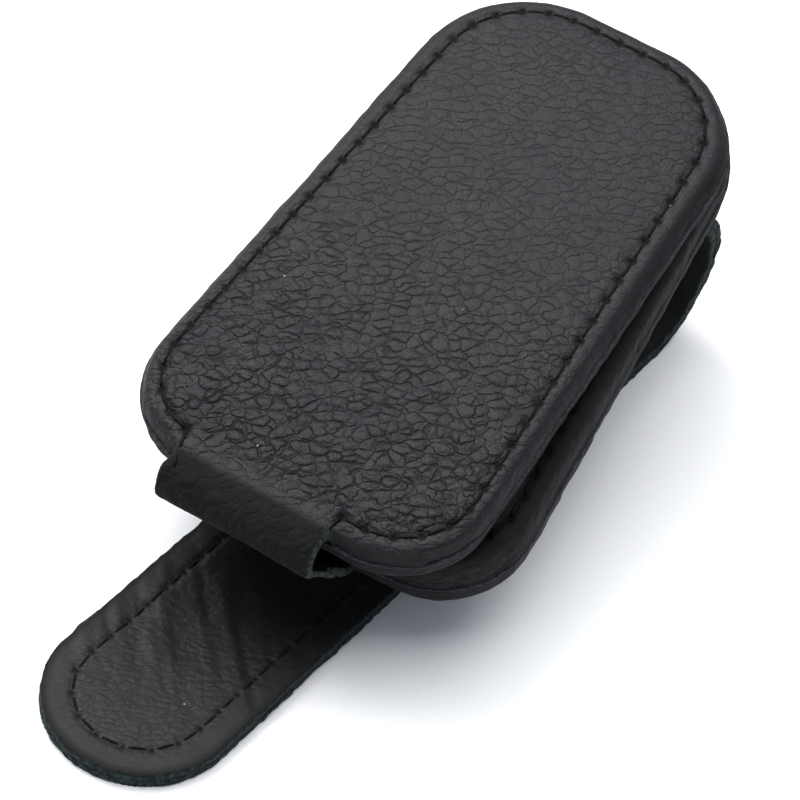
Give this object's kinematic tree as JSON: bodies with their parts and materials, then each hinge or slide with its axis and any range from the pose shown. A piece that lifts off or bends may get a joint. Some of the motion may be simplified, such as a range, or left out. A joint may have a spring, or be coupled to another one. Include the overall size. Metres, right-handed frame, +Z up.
{
  "type": "money clip",
  "caption": "Magnetic leather clip: padded flap and base joined by a leather fold, with a leather-covered spring clip strap.",
  "frame": {"origin": "on the rest face under the strap's lower arm, below the first rivet of the fixing", "axes": "+X from the tongue's tip towards the U bend, +Z up away from the rest face, Y across the strap"},
  "size_m": [0.121, 0.0555, 0.0422],
  "materials": {
    "grain_leather": "black pebbled grain, semi-matt",
    "strap_leather": "black fine grain, semi-matt",
    "raw_edge": "dyed raw cut edge, matt",
    "thread": "waxed black polyester thread",
    "spring_steel": "blued spring steel strip",
    "rivet_metal": "nickel plated, satin",
    "magnet": "nickel plated magnet",
    "board": "grey-brown fibre board",
    "steel_plate": "thin plated steel",
    "foam": "closed-cell foam"
  },
  "bodies": {
    "strap": {"arm_outer_leather": "strap_leather", "arm_inner_leather": "strap_leather", "arm_steel": "spring_steel", "arm_stitching": "thread", "bend_outer_leather": "raw_edge", "bend_inner_leather": "strap_leather", "bend_steel": "spring_steel"},
    "base": {"mount_outer_leather": "strap_leather", "mount_inner_leather": "strap_leather", "mount_steel": "spring_steel", "rivets": "rivet_metal", "rivet_caps": "rivet_metal", "base_upper_leather": "grain_leather", "base_lower_leather": "grain_leather", "base_board": "steel_plate", "base_padding": "foam", "base_magnets": "magnet", "base_stitching": "thread", "fold_leather": "grain_leather"},
    "flap": {"flap_outer_leather": "grain_leather", "flap_inner_leather": "grain_leather", "flap_board": "board", "flap_padding": "foam", "flap_magnets": "magnet", "flap_stitching": "thread"}
  },
  "joints": [
    {"name": "clip_spring", "type": "hinge", "parent": "strap", "child": "base", "pos_m": [0.03972, 0, 0.0126], "axis": [0, 1, 0], "range_deg": [-2, 14], "stiffness_Nm_per_rad": 4, "deforming": ["bend_outer_leather", "bend_inner_leather", "bend_steel"]},
    {"name": "flap_fold", "type": "hinge", "parent": "base", "child": "flap", "pos_m": [-0.03392, 0.00129, 0.01582], "axis": [0.0893, -0.9957, 0.0234], "range_deg": [0, 160], "deforming": ["fold_leather"]}
  ]
}
